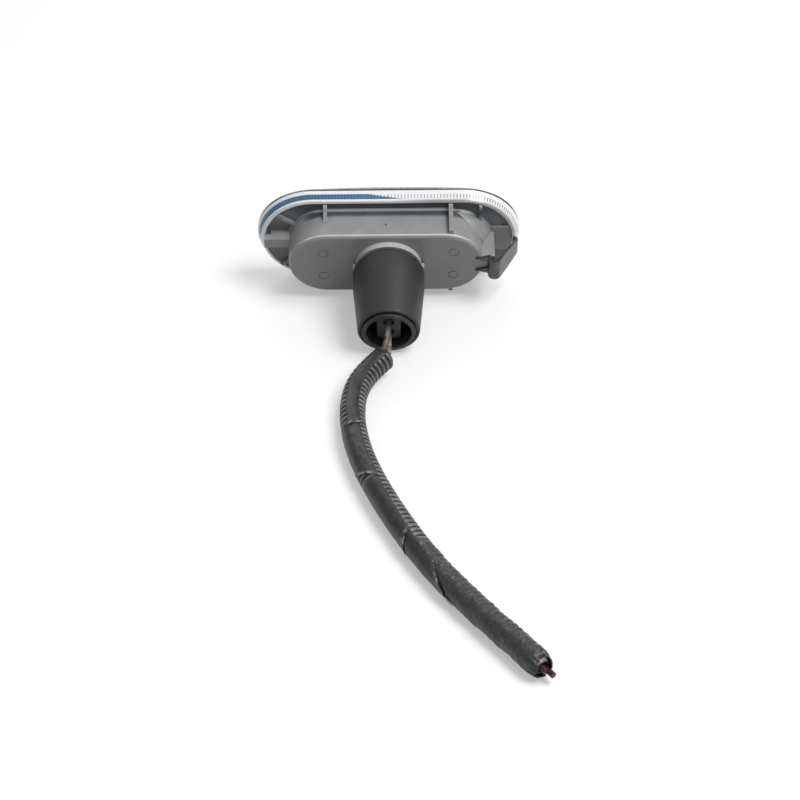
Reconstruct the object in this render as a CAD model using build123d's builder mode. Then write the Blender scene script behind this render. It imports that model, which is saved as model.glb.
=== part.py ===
from build123d import *
import os
from math import acos, asin, atan2, cos, degrees, hypot, radians, sin, sqrt, tan

# Side repeater lamp for a car wing: a clear oval lens on a grey moulded housing, held in the panel
# by a fixed hook at one end and a spring clip at the other. A wedge bulb sits in a twist-in holder,
# and a rubber boot covers the plug of the short harness, which is cut off.
# The lamp rests on a table on the lower edge of its lens and the end of its boot, so it leans back.

# Lens
LENS_LENGTH = 106.0
LENS_HEIGHT = 46.5
LENS_FRONT_RISE = 5.8
LENS_ARC_ACROSS = 90.0
LENS_ARC_ALONG = 600.0
LENS_EDGE_RADIUS = 1.8
LENS_WALL = 2.4
RIM_DEPTH = 3.9
RIM_INSET = 2.0
LIP_WIDTH = 1.0
LIP_PROUD = 0.4
LEDGE_WIDTH = 2.2
FLUTE_PITCH = 2.0
FLUTE_DEPTH = 0.5

# Housing
FLANGE_THICKNESS = 2.0
TUB_LENGTH = 79.0
TUB_HEIGHT = 33.1
TUB_SHIFT = -1.0
TUB_DEPTH = 14.6
TUB_DRAFT = 2.0
TUB_WALL = 2.0
TUB_EDGE_RADIUS = 1.5
FLARE_REACH = 4.0
FLARE_HEIGHT = 7.5
FLARE_SLOPE = 26.0
PLINTH_WIDTH = 0.7
PLINTH_HEIGHT = 1.1
COLLAR_RADIUS = 13.3
COLLAR_HEIGHT = 2.8
EAR_WIDTH = 2.6
EAR_REACH = 1.0
EAR_DEPTH = 2.0
RIB_PLACE = 25.0
SHORT_RIB_WIDTH = 1.5
SHORT_RIB_LENGTH = 7.0
LONG_RIB_WIDTH = 1.7
GUSSET_WIDTH = 1.2
GUSSET_HEIGHT = 1.6
LEFT_GUSSET_ANGLE = 145.0
RIGHT_GUSSET_INSET = 1.6
PIN_RING_RADIUS = 2.2
PIN_RING_WIDTH = 0.4
PIN_RING_DEPTH = 0.25
PIN_RING_SPACING = 52.0
PIN_RING_RISE = 13.0
GATE_MARK_RADIUS = 0.5
GATE_MARK_DEPTH = 0.4
GATE_MARK_PLACE = 8.4

# Hook at the left end and clip at the right end
PANEL_GAP = 2.2
HOOK_TOP = 5.2
HOOK_HEIGHT = 4.6
HOOK_DEPTH = 5.5
HOOK_LIP = 2.6
PAD_HEIGHT = 13.0
PAD_THICKNESS = 1.0
PAD_GAP = 0.8
PAD_GAP_DEPTH = 1.2
PAD_GAP_START = 4.05
BUTTRESS_REACH = 4.0
BUTTRESS_HEIGHT = 8.4
CLIP_THICKNESS = 1.1
CLIP_WIDTH = 10.0
CLIP_ROOT_WIDTH = 6.0
CLIP_TIP_WIDTH = 5.6
CLIP_WALL = 1.5
CLIP_BEND_RADIUS = 2.1
CLIP_BEND_RISE = 3.6
CLIP_ELBOW_RADIUS = 1.2
CLIP_ROOT_DEPTH = 8.0
CLIP_TIP_RETURN = 1.5
PRONG_LENGTH = 5.6
PRONG_WIDTH = 3.4
PRONG_THICKNESS = 0.8

# Bulb holder, seal and contacts
HOLDER_RADIUS = 8.8
HOLDER_NOSE = 2.3
HOLDER_FLANGE_RADIUS = 11.9
HOLDER_FLANGE_THICKNESS = 2.2
LUG_REACH = 1.7
LUG_WIDTH = 4.6
LUG_THICKNESS = 1.8
SEAL_THICKNESS = 2.0
SHROUD_RADIUS = 10.6
SHROUD_LENGTH = 19.4
CONTACT_WIDTH = 3.0
CONTACT_THICKNESS = 0.5
CONTACT_FRONT = 16.6
CONTACT_BLADE = 9.0

# Bulb
BULB_RADIUS = 5.15
BULB_LENGTH = 26.8
BULB_GLASS = 0.7
BULB_BASE_WIDTH = 9.4
BULB_BASE_THICKNESS = 4.8
BULB_BASE_DEPTH = 8.5
BULB_SEAT = 24.1
LEAD_RADIUS = 0.25
LEAD_SPACING = 4.0
FILAMENT_RADIUS = 0.3
FILAMENT_DEPTH = 7.0

# Reflector
REFLECTOR_SHEET = 1.0
BOWL_LENGTH = 69.0
BOWL_HEIGHT = 25.0
BOWL_DEPTH = 10.4
BOWL_SLOPE = 22.0

# Boot
BOOT_LENGTH = 31.4
BOOT_RADIUS = 14.25
BOOT_END_RADIUS = 12.2
BOOT_MOUTH_RADIUS = 8.8
BOOT_LIP_RADIUS = 10.5
BOOT_LIP_REACH = 1.2
BOOT_LIP_EDGE = 0.5
BOOT_STRAIGHT = 8.0
BOOT_NECK = 5.0
BOOT_GROOVE = 0.8
BOOT_EDGE_RADIUS = 0.8

# Plug
PLUG_WIDTH = 9.3
PLUG_HEIGHT = 14.0
PLUG_LENGTH = 22.2
PLUG_CORNER = 1.2
PLUG_WEB = 4.3
TERMINAL_WIDTH = 3.6
TERMINAL_HEIGHT = 2.6
TERMINAL_LENGTH = 13.0
TERMINAL_SLOT = 10.0
WIRE_SEAL_RADIUS = 2.2
WIRE_SEAL_DEPTH = 1.0

# Harness
BEND_SHARE = 0.45
WIRE_RADIUS = 1.1
WIRE_STUB = 3.4
WIRE_BEND_REACH = 5.8
CONDUIT_RADIUS = 4.7
CONDUIT_BORE_RADIUS = 3.5
TAPE_THICKNESS = 0.15
TAPED_RUNS = 5

# Clearances
SLIDE = 0.1
FIT = 0.2

# The tilt: the floor touches the widest edge of the lens and the rounded end of the boot's body.
LIP_PLANE = RIM_DEPTH
FLANGE_BACK = LIP_PLANE - LIP_PROUD
FLANGE_FRONT = FLANGE_BACK - FLANGE_THICKNESS
TUB_BACK = FLANGE_BACK + TUB_DEPTH
TUB_FLOOR = TUB_BACK - TUB_WALL
COLLAR_BACK = TUB_BACK + COLLAR_HEIGHT
BOOT_FRONT = COLLAR_BACK + HOLDER_FLANGE_THICKNESS
BOOT_BACK = BOOT_FRONT + BOOT_LENGTH
BOOT_BODY_BACK = BOOT_BACK - BOOT_LIP_REACH

edge_drop = LENS_HEIGHT / 2 - (BOOT_END_RADIUS - BOOT_EDGE_RADIUS)
edge_run = BOOT_BODY_BACK - BOOT_EDGE_RADIUS
LEAN = degrees(atan2(edge_drop, edge_run) - asin(BOOT_EDGE_RADIUS / hypot(edge_drop, edge_run)))
lean_sin = sin(radians(LEAN))
lean_cos = cos(radians(LEAN))

# The origin is on the floor, under the middle of the lamp from the lens front to the boot's end.
front_reach = LENS_ARC_ACROSS - (LENS_ARC_ACROSS - LENS_FRONT_RISE) * lean_cos
body_reach = (
    edge_run * lean_cos + (BOOT_END_RADIUS - BOOT_EDGE_RADIUS) * lean_sin + BOOT_EDGE_RADIUS
)
lip_reach = (
    (BOOT_BACK - BOOT_LIP_EDGE) * lean_cos
    + (BOOT_LIP_RADIUS - BOOT_LIP_EDGE) * lean_sin
    + BOOT_LIP_EDGE
)
back_reach = max(body_reach, lip_reach)
LAMP = Plane(
    origin=(0, (back_reach - front_reach) / 2, LENS_HEIGHT / 2 * lean_cos),
    x_dir=(1, 0, 0),
    z_dir=(0, -lean_cos, -lean_sin),
)
# In the lamp's own plane x is right, y is up and z is rearward from the lens's widest edge.
AXIAL = Plane(LAMP.origin, x_dir=LAMP.y_dir, z_dir=LAMP.x_dir)
PLAN = Plane(LAMP.origin, x_dir=LAMP.x_dir, z_dir=-LAMP.y_dir)
LAMP_AXIS = Axis(LAMP.origin, LAMP.z_dir)


def lamp_point(right, up, rearward):
    return LAMP.from_local_coords(Vector(right, up, rearward))


os.makedirs("parts", exist_ok=True)

# Lens: clear plastic, crowned both ways, with a thick rim that closes in towards the panel lip.
lip_length = LENS_LENGTH - 2 * RIM_INSET
lip_height = LENS_HEIGHT - 2 * RIM_INSET
rebate_length = lip_length - 2 * LIP_WIDTH
rebate_height = lip_height - 2 * LIP_WIDTH
cavity_length = rebate_length - 2 * LEDGE_WIDTH
cavity_height = rebate_height - 2 * LEDGE_WIDTH
rim_slope = degrees(atan2(RIM_INSET, RIM_DEPTH))
crown_centre_along = LENS_ARC_ALONG - LENS_FRONT_RISE
crown_centre_across = LENS_ARC_ACROSS - LENS_FRONT_RISE

# Space inside the lens: upright flutes on the back of its front wall, bent to the crown.
flute_count = int(cavity_length / FLUTE_PITCH)
flute_start = -flute_count * FLUTE_PITCH / 2


def flute_depth_at(along):
    return crown_centre_along - sqrt((LENS_ARC_ALONG - LENS_WALL) ** 2 - along**2)


with BuildPart() as lens_space:
    with BuildSketch(PLAN) as flute_profile:
        with BuildLine():
            flute_points = []
            for flute in range(flute_count):
                valley = flute_start + flute * FLUTE_PITCH
                ridge = valley + FLUTE_PITCH / 2
                flute_points.append((valley, flute_depth_at(valley)))
                flute_points.append((ridge, flute_depth_at(ridge) - FLUTE_DEPTH))
            flute_points.append((-flute_start, flute_depth_at(flute_start)))
            flutes = Polyline(flute_points)
            Polyline(
                flutes @ 1,
                (cavity_length, flute_depth_at(flute_start)),
                (cavity_length, FLANGE_BACK + FLANGE_THICKNESS),
                (-cavity_length, FLANGE_BACK + FLANGE_THICKNESS),
                (-cavity_length, flute_depth_at(flute_start)),
                flutes @ 0,
            )
        make_face()
    revolve(axis=Axis(lamp_point(0, 0, crown_centre_across), LAMP.x_dir))
    with BuildSketch(LAMP.offset(FLANGE_FRONT)):
        SlotOverall(cavity_length, cavity_height)
    extrude(amount=-LENS_FRONT_RISE - FLANGE_FRONT, mode=Mode.INTERSECT)

with BuildPart() as lens:
    with BuildSketch(AXIAL):
        with BuildLine():
            crown = ThreePointArc(
                (-LENS_HEIGHT, crown_centre_across - sqrt(LENS_ARC_ACROSS**2 - LENS_HEIGHT**2)),
                (0, -LENS_FRONT_RISE),
                (LENS_HEIGHT, crown_centre_across - sqrt(LENS_ARC_ACROSS**2 - LENS_HEIGHT**2)),
            )
            Polyline(crown @ 1, (LENS_HEIGHT, LENS_HEIGHT), (-LENS_HEIGHT, LENS_HEIGHT), crown @ 0)
        make_face()
    revolve(axis=Axis(lamp_point(0, 0, crown_centre_along), LAMP.y_dir))
    with BuildSketch(LAMP):
        SlotOverall(LENS_LENGTH, LENS_HEIGHT)
    extrude(amount=-LENS_FRONT_RISE, mode=Mode.INTERSECT)
    front_face = lens.faces().sort_by(LAMP_AXIS)[0]
    fillet(front_face.edges(), radius=LENS_EDGE_RADIUS)
    with BuildSketch(LAMP):
        SlotOverall(LENS_LENGTH, LENS_HEIGHT)
    extrude(amount=RIM_DEPTH, taper=rim_slope)
    with BuildSketch(LAMP.offset(FLANGE_FRONT)):
        SlotOverall(rebate_length, rebate_height)
    extrude(amount=RIM_DEPTH, mode=Mode.SUBTRACT)
    add(lens_space.part, mode=Mode.SUBTRACT)
lens.part.label = "lens"
export_step(lens.part, "parts/lens.step")

# Housing: grey moulding with the flange behind the lens, the tub, the collar, hook and clip post.
flange_length = rebate_length - 2 * SLIDE
flange_height = rebate_height - 2 * SLIDE
tub_end = TUB_LENGTH / 2
tub_radius = TUB_HEIGHT / 2
tub_end_centre = tub_end - tub_radius
tub_right = TUB_SHIFT + tub_end
post_right = tub_right + BUTTRESS_REACH
slot_right = post_right - CLIP_WALL
slot_left = slot_right - CLIP_THICKNESS - 2 * SLIDE
hook_left = -flange_length / 2
hook_inner = TUB_SHIFT - tub_end + TUB_WALL
seal_radius = COLLAR_RADIUS - TUB_WALL
bore_radius = HOLDER_RADIUS + FIT

with BuildPart() as housing:
    with BuildSketch(LAMP.offset(FLANGE_BACK)):
        with Locations((TUB_SHIFT, 0)):
            SlotOverall(TUB_LENGTH, TUB_HEIGHT)
    extrude(amount=TUB_DEPTH, taper=TUB_DRAFT)
    fillet(housing.faces().sort_by(LAMP_AXIS)[-1].edges(), radius=TUB_EDGE_RADIUS)
    # The clip's end of the tub flares out towards the flange.
    with BuildSketch(LAMP.offset(FLANGE_BACK)):
        with Locations((TUB_SHIFT + FLARE_REACH, 0)):
            SlotOverall(TUB_LENGTH, TUB_HEIGHT - 2 * FIT)
    extrude(amount=FLARE_HEIGHT, taper=FLARE_SLOPE)
    with BuildSketch(LAMP.offset(FLANGE_FRONT)):
        SlotOverall(flange_length, flange_height)
    extrude(amount=FLANGE_THICKNESS)
    with BuildSketch(LAMP.offset(FLANGE_BACK)):
        with Locations((TUB_SHIFT, 0)):
            SlotOverall(TUB_LENGTH + 2 * PLINTH_WIDTH, TUB_HEIGHT + 2 * PLINTH_WIDTH)
    extrude(amount=PLINTH_HEIGHT)
    # Guide ribs above and below: short ones on the left, full-depth ones on the right.
    for side in (1, -1):
        root = side * (tub_radius - TUB_WALL / 2)
        crest = side * (flange_height / 2 - FIT)
        with BuildSketch(AXIAL.offset(-RIB_PLACE)):
            with BuildLine():
                Polyline(
                    (root, FLANGE_BACK),
                    (crest, FLANGE_BACK),
                    (side * tub_radius, FLANGE_BACK + SHORT_RIB_LENGTH),
                    (root, FLANGE_BACK + SHORT_RIB_LENGTH),
                    close=True,
                )
            make_face()
        extrude(amount=SHORT_RIB_WIDTH / 2, both=True)
        with BuildSketch(AXIAL.offset(RIB_PLACE)):
            with BuildLine():
                Polyline(
                    (root, FLANGE_BACK),
                    (crest, FLANGE_BACK),
                    ((root + crest) / 2, TUB_BACK - TUB_EDGE_RADIUS),
                    (root, TUB_BACK - TUB_EDGE_RADIUS),
                    close=True,
                )
            make_face()
        extrude(amount=LONG_RIB_WIDTH / 2, both=True)
    # Gussets stand on the flange, inside its edge.
    with BuildSketch(LAMP.offset(FLANGE_BACK)):
        gussets = (
            (TUB_SHIFT - tub_end_centre, LEFT_GUSSET_ANGLE),
            (TUB_SHIFT - tub_end_centre, -LEFT_GUSSET_ANGLE),
            (tub_right - RIGHT_GUSSET_INSET, 90),
            (tub_right - RIGHT_GUSSET_INSET, -90),
        )
        for centre, angle in gussets:
            with Locations(Location((centre, 0), angle)):
                Rectangle(LENS_HEIGHT, GUSSET_WIDTH, align=(Align.MIN, Align.CENTER))
        SlotOverall(flange_length - 2 * FIT, flange_height - 2 * FIT, mode=Mode.INTERSECT)
    extrude(amount=GUSSET_HEIGHT)
    # A low pad under the clip, with a relief groove above and below it.
    with BuildSketch(LAMP.offset(FLANGE_BACK)):
        with Locations((tub_right, 0)):
            Rectangle(flange_length, PAD_HEIGHT, align=(Align.MIN, Align.CENTER))
        SlotOverall(flange_length - 2 * FIT, flange_height - 2 * FIT, mode=Mode.INTERSECT)
    extrude(amount=PAD_THICKNESS)
    with BuildSketch(LAMP.offset(FLANGE_BACK)):
        for side in (1, -1):
            with Locations((flange_length / 2 - PAD_GAP_START, side * (PAD_HEIGHT + PAD_GAP) / 2)):
                Rectangle(flange_length, PAD_GAP, align=(Align.MIN, Align.CENTER))
        SlotOverall(flange_length - 2 * PAD_GAP, flange_height - 2 * PAD_GAP, mode=Mode.INTERSECT)
    extrude(amount=-PAD_GAP_DEPTH, mode=Mode.SUBTRACT)
    # Fixed hook: a block whose outer lip stands off the panel lip by the panel gap.
    with BuildSketch(AXIAL.offset(hook_left)):
        with Locations((HOOK_TOP, FLANGE_BACK)):
            Rectangle(HOOK_HEIGHT, HOOK_DEPTH, align=(Align.MAX, Align.MIN))
    extrude(amount=hook_inner - hook_left)
    with BuildSketch(AXIAL.offset(hook_left)):
        with Locations((0, FLANGE_BACK)):
            Rectangle(LENS_HEIGHT, LIP_PROUD + PANEL_GAP, align=(Align.CENTER, Align.MIN))
    extrude(amount=HOOK_LIP, mode=Mode.SUBTRACT)
    # Clip post beside the tub, with a closed pocket for the clip's inner leg.
    with BuildSketch(LAMP.offset(FLANGE_BACK)):
        with Locations((post_right, 0)):
            Rectangle(tub_radius, BUTTRESS_HEIGHT, align=(Align.MAX, Align.CENTER))
    extrude(amount=TUB_DEPTH)
    with BuildSketch(LAMP.offset(TUB_BACK - CLIP_ROOT_DEPTH - FIT)):
        with Locations(((slot_left + slot_right) / 2, 0)):
            Rectangle(slot_right - slot_left, CLIP_ROOT_WIDTH + 2 * FIT)
    extrude(amount=LENS_HEIGHT, mode=Mode.SUBTRACT)
    # Collar with two outer ears, then the hollow, the seal pocket and the keyed bore.
    with BuildSketch(LAMP.offset(TUB_BACK - TUB_WALL / 2)):
        Circle(COLLAR_RADIUS)
    extrude(amount=COLLAR_HEIGHT + TUB_WALL / 2)
    with BuildSketch(LAMP.offset(COLLAR_BACK)):
        Rectangle(2 * (COLLAR_RADIUS + EAR_REACH), EAR_WIDTH)
        Circle(seal_radius, mode=Mode.SUBTRACT)
    extrude(amount=-EAR_DEPTH)
    with BuildSketch(LAMP.offset(FLANGE_FRONT)):
        with Locations((TUB_SHIFT, 0)):
            SlotOverall(TUB_LENGTH - 2 * TUB_WALL, TUB_HEIGHT - 2 * TUB_WALL)
    extrude(amount=TUB_FLOOR - FLANGE_FRONT, taper=TUB_DRAFT, mode=Mode.SUBTRACT)
    with BuildSketch(LAMP.offset(TUB_BACK)):
        Circle(seal_radius)
    extrude(amount=COLLAR_HEIGHT, mode=Mode.SUBTRACT)
    with BuildSketch(LAMP.offset(TUB_FLOOR)):
        Circle(bore_radius)
        Rectangle(LUG_WIDTH + 2 * FIT, 2 * (HOLDER_RADIUS + LUG_REACH + FIT))
    extrude(amount=TUB_WALL, mode=Mode.SUBTRACT)
    # Marks of the mould: four ejector pin rings on the back and a gate mark on the top wall.
    with BuildSketch(LAMP.offset(TUB_BACK)):
        with GridLocations(PIN_RING_SPACING, PIN_RING_RISE, 2, 2):
            Circle(PIN_RING_RADIUS)
            Circle(PIN_RING_RADIUS - PIN_RING_WIDTH, mode=Mode.SUBTRACT)
    extrude(amount=-PIN_RING_DEPTH, mode=Mode.SUBTRACT)
    gate_point = lamp_point(TUB_SHIFT, tub_radius, FLANGE_BACK + GATE_MARK_PLACE)
    with BuildSketch(Plane(gate_point, x_dir=LAMP.x_dir, z_dir=-LAMP.y_dir)):
        Circle(GATE_MARK_RADIUS)
    extrude(amount=GATE_MARK_DEPTH + GATE_MARK_PLACE * tan(radians(TUB_DRAFT)), mode=Mode.SUBTRACT)
housing.part.label = "housing"
export_step(housing.part, "parts/housing.step")

# Reflector: bright pressed-in dish whose rim lies on the front of the flange.
with BuildPart() as reflector:
    with BuildSketch(LAMP.offset(FLANGE_FRONT - REFLECTOR_SHEET)):
        SlotOverall(cavity_length - 2 * FIT, cavity_height - 2 * FIT)
    extrude(amount=REFLECTOR_SHEET)
    with BuildSketch(LAMP.offset(FLANGE_FRONT - REFLECTOR_SHEET)):
        with Locations((TUB_SHIFT, 0)):
            SlotOverall(BOWL_LENGTH, BOWL_HEIGHT)
    extrude(amount=BOWL_DEPTH, taper=BOWL_SLOPE)
    with BuildSketch(LAMP.offset(FLANGE_FRONT - REFLECTOR_SHEET)):
        with Locations((TUB_SHIFT, 0)):
            SlotOverall(BOWL_LENGTH - 2 * REFLECTOR_SHEET, BOWL_HEIGHT - 2 * REFLECTOR_SHEET)
    extrude(amount=BOWL_DEPTH - REFLECTOR_SHEET, taper=BOWL_SLOPE, mode=Mode.SUBTRACT)
    with BuildSketch(LAMP.offset(FLANGE_FRONT)):
        Circle(BULB_RADIUS + REFLECTOR_SHEET)
    extrude(amount=BOWL_DEPTH, mode=Mode.SUBTRACT)
reflector.part.label = "reflector"
export_step(reflector.part, "parts/reflector.step")

# Retaining clip: one bent spring strip, its inner leg in the post's slot and two prongs on the tub.
clip_leg = slot_right - SLIDE - CLIP_THICKNESS / 2
clip_elbow = LENS_LENGTH / 2 - CLIP_THICKNESS
clip_tip_depth = LIP_PLANE + PANEL_GAP + CLIP_THICKNESS / 2
clip_elbow_depth = clip_tip_depth + CLIP_TIP_RETURN
clip_root_depth = TUB_BACK - CLIP_ROOT_DEPTH
clip_back = TUB_BACK + CLIP_BEND_RISE
bend_depth = clip_back - CLIP_BEND_RADIUS
# The hairpin bend turns until the outer leg points at the elbow.
elbow_across = clip_elbow - clip_leg - CLIP_BEND_RADIUS
elbow_along = clip_elbow_depth - bend_depth
bend_end = degrees(
    atan2(elbow_along, elbow_across)
    + acos(CLIP_BEND_RADIUS / hypot(elbow_across, elbow_along))
)

with BuildPart() as retaining_clip:
    with BuildSketch(PLAN):
        with BuildLine():
            inner_leg = Line((clip_leg, clip_root_depth), (clip_leg, bend_depth))
            hairpin = JernArc(inner_leg @ 1, inner_leg % 1, CLIP_BEND_RADIUS, bend_end - 180)
            FilletPolyline(
                hairpin @ 1,
                (clip_elbow, clip_elbow_depth),
                (clip_elbow - CLIP_TIP_RETURN, clip_tip_depth),
                radius=CLIP_ELBOW_RADIUS,
            )
        trace(line_width=CLIP_THICKNESS)
    extrude(amount=CLIP_WIDTH / 2, both=True)
    with BuildSketch(AXIAL.offset(clip_leg - CLIP_THICKNESS)):
        with BuildLine():
            Polyline(
                (-CLIP_TIP_WIDTH / 2, FLANGE_BACK),
                (CLIP_TIP_WIDTH / 2, FLANGE_BACK),
                (CLIP_WIDTH / 2, TUB_FLOOR),
                (CLIP_WIDTH / 2, clip_back + CLIP_THICKNESS),
                (-CLIP_WIDTH / 2, clip_back + CLIP_THICKNESS),
                (-CLIP_WIDTH / 2, TUB_FLOOR),
                close=True,
            )
        make_face()
    extrude(amount=LENS_HEIGHT, mode=Mode.INTERSECT)
    with BuildSketch(AXIAL.offset(slot_left)):
        with Locations((0, TUB_BACK)):
            Rectangle(LENS_HEIGHT, TUB_BACK, align=(Align.CENTER, Align.MAX))
            Rectangle(CLIP_ROOT_WIDTH, TUB_BACK, align=(Align.CENTER, Align.MAX), mode=Mode.SUBTRACT)
    extrude(amount=slot_right - slot_left, mode=Mode.SUBTRACT)
    with BuildSketch(LAMP.offset(TUB_BACK)):
        for side in (1, -1):
            with BuildLine():
                Polyline(
                    (clip_leg, side * CLIP_WIDTH / 2),
                    (clip_leg, side * (CLIP_WIDTH / 2 - PRONG_WIDTH)),
                    (clip_leg - PRONG_LENGTH, side * (CLIP_WIDTH / 2 - PRONG_WIDTH / 2)),
                    close=True,
                )
            make_face()
    extrude(amount=PRONG_THICKNESS)
retaining_clip.part.label = "retaining_clip"
export_step(retaining_clip.part, "parts/retaining_clip.step")

# Bulb holder: nose with twist lugs, flange on the collar, and the shroud that takes the plug.
holder_front = TUB_FLOOR - HOLDER_NOSE
pocket_back = BULB_SEAT + SLIDE
shroud_floor = pocket_back + PLUG_WEB
shroud_back = BOOT_FRONT + SHROUD_LENGTH
contact_middle = BULB_BASE_THICKNESS / 2 + SLIDE + CONTACT_THICKNESS / 2
pocket_height = 2 * (contact_middle + CONTACT_THICKNESS / 2 + SLIDE)

with BuildPart() as bulb_holder:
    with BuildSketch(LAMP.offset(holder_front)):
        Circle(HOLDER_RADIUS)
    extrude(amount=COLLAR_BACK - holder_front)
    with BuildSketch(LAMP.offset(TUB_BACK + SEAL_THICKNESS)):
        Circle(seal_radius - FIT)
    extrude(amount=COLLAR_HEIGHT - SEAL_THICKNESS)
    with BuildSketch(LAMP.offset(COLLAR_BACK)):
        Circle(HOLDER_FLANGE_RADIUS)
    extrude(amount=HOLDER_FLANGE_THICKNESS)
    with BuildSketch(LAMP.offset(BOOT_FRONT)):
        Circle(SHROUD_RADIUS)
    extrude(amount=SHROUD_LENGTH)
    with BuildSketch(LAMP.offset(TUB_FLOOR)):
        Rectangle(2 * (HOLDER_RADIUS + LUG_REACH), LUG_WIDTH)
    extrude(amount=-LUG_THICKNESS)
    with BuildSketch(LAMP.offset(holder_front)):
        Circle(BULB_RADIUS + FIT)
    extrude(amount=BULB_SEAT - BULB_BASE_DEPTH + FIT - holder_front, mode=Mode.SUBTRACT)
    with BuildSketch(LAMP.offset(holder_front)):
        Rectangle(BULB_BASE_WIDTH + 2 * FIT, pocket_height)
    extrude(amount=pocket_back - holder_front, mode=Mode.SUBTRACT)
    with BuildSketch(LAMP.offset(pocket_back)):
        for side in (1, -1):
            with Locations((0, side * contact_middle)):
                Rectangle(CONTACT_WIDTH + 2 * SLIDE, CONTACT_THICKNESS + 2 * SLIDE)
    extrude(amount=PLUG_WEB, mode=Mode.SUBTRACT)
    with BuildSketch(LAMP.offset(shroud_floor)):
        RectangleRounded(PLUG_WIDTH + 2 * FIT, PLUG_HEIGHT + 2 * FIT, PLUG_CORNER + FIT)
    extrude(amount=shroud_back - shroud_floor, mode=Mode.SUBTRACT)
bulb_holder.part.label = "bulb_holder"
export_step(bulb_holder.part, "parts/bulb_holder.step")

# Flat rubber seal between the tub and the holder's step.
with BuildPart() as holder_seal:
    with BuildSketch(LAMP.offset(TUB_BACK)):
        Circle(seal_radius - FIT)
        Circle(HOLDER_RADIUS + SLIDE, mode=Mode.SUBTRACT)
    extrude(amount=SEAL_THICKNESS)
holder_seal.part.label = "holder_seal"
export_step(holder_seal.part, "parts/holder_seal.step")

# Brass contacts: a strip each side of the bulb's base that runs on as the blade of the plug.
for side, place in ((1, "upper"), (-1, "lower")):
    with BuildPart() as bulb_contact:
        with BuildSketch(LAMP.offset(CONTACT_FRONT)):
            with Locations((0, side * contact_middle)):
                Rectangle(CONTACT_WIDTH, CONTACT_THICKNESS)
        extrude(amount=shroud_floor + CONTACT_BLADE - CONTACT_FRONT)
        blade_tip = bulb_contact.faces().sort_by(LAMP_AXIS)[-1]
        chamfer(blade_tip.edges().filter_by(Axis.X), length=CONTACT_THICKNESS / 4)
    bulb_contact.part.label = "bulb_contact_" + place
    export_step(bulb_contact.part, "parts/bulb_contact_" + place + ".step")

# Wedge bulb: amber glass with a flat pinched base, drawn hollow round its leads.
bulb_tip = BULB_SEAT - BULB_LENGTH
base_front = BULB_SEAT - BULB_BASE_DEPTH
bulb_inner = BULB_RADIUS - BULB_GLASS
with BuildPart() as bulb_glass:
    with BuildSketch(AXIAL):
        with BuildLine():
            outer_tip = RadiusArc(
                (0, bulb_tip), (BULB_RADIUS, bulb_tip + BULB_RADIUS), -BULB_RADIUS
            )
            inner_tip = RadiusArc(
                (bulb_inner, bulb_tip + BULB_RADIUS), (0, bulb_tip + BULB_GLASS), bulb_inner
            )
            Polyline(outer_tip @ 1, (BULB_RADIUS, base_front), (0, base_front))
            Polyline((0, base_front), (0, base_front - BULB_GLASS))
            Polyline(
                (0, base_front - BULB_GLASS), (bulb_inner, base_front - BULB_GLASS), inner_tip @ 0
            )
            Line(inner_tip @ 1, outer_tip @ 0)
        make_face()
    revolve(axis=LAMP_AXIS)
    with BuildSketch(LAMP.offset(base_front)):
        RectangleRounded(BULB_BASE_WIDTH, BULB_BASE_THICKNESS, BULB_BASE_THICKNESS / 4)
    extrude(amount=BULB_BASE_DEPTH)
    with BuildSketch(LAMP.offset(BULB_SEAT)):
        with GridLocations(LEAD_SPACING, 0, 2, 1):
            Circle(LEAD_RADIUS + SLIDE / 2)
    extrude(amount=-BULB_BASE_DEPTH - 2 * BULB_GLASS, mode=Mode.SUBTRACT)
bulb_glass.part.label = "bulb_glass"
export_step(bulb_glass.part, "parts/bulb_glass.step")

# Filament welded across the tops of its two leads, which run down through the pinched base.
filament_depth = bulb_tip + FILAMENT_DEPTH
with BuildPart() as bulb_filament:
    with BuildSketch(LAMP.offset(filament_depth)):
        with GridLocations(LEAD_SPACING, 0, 2, 1):
            Circle(LEAD_RADIUS)
    extrude(amount=BULB_SEAT - filament_depth)
    with BuildSketch(AXIAL):
        with Locations((0, filament_depth)):
            Circle(FILAMENT_RADIUS)
    extrude(amount=LEAD_SPACING / 2 + FILAMENT_RADIUS, both=True)
bulb_filament.part.label = "bulb_filament"
export_step(bulb_filament.part, "parts/bulb_filament.step")

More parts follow.
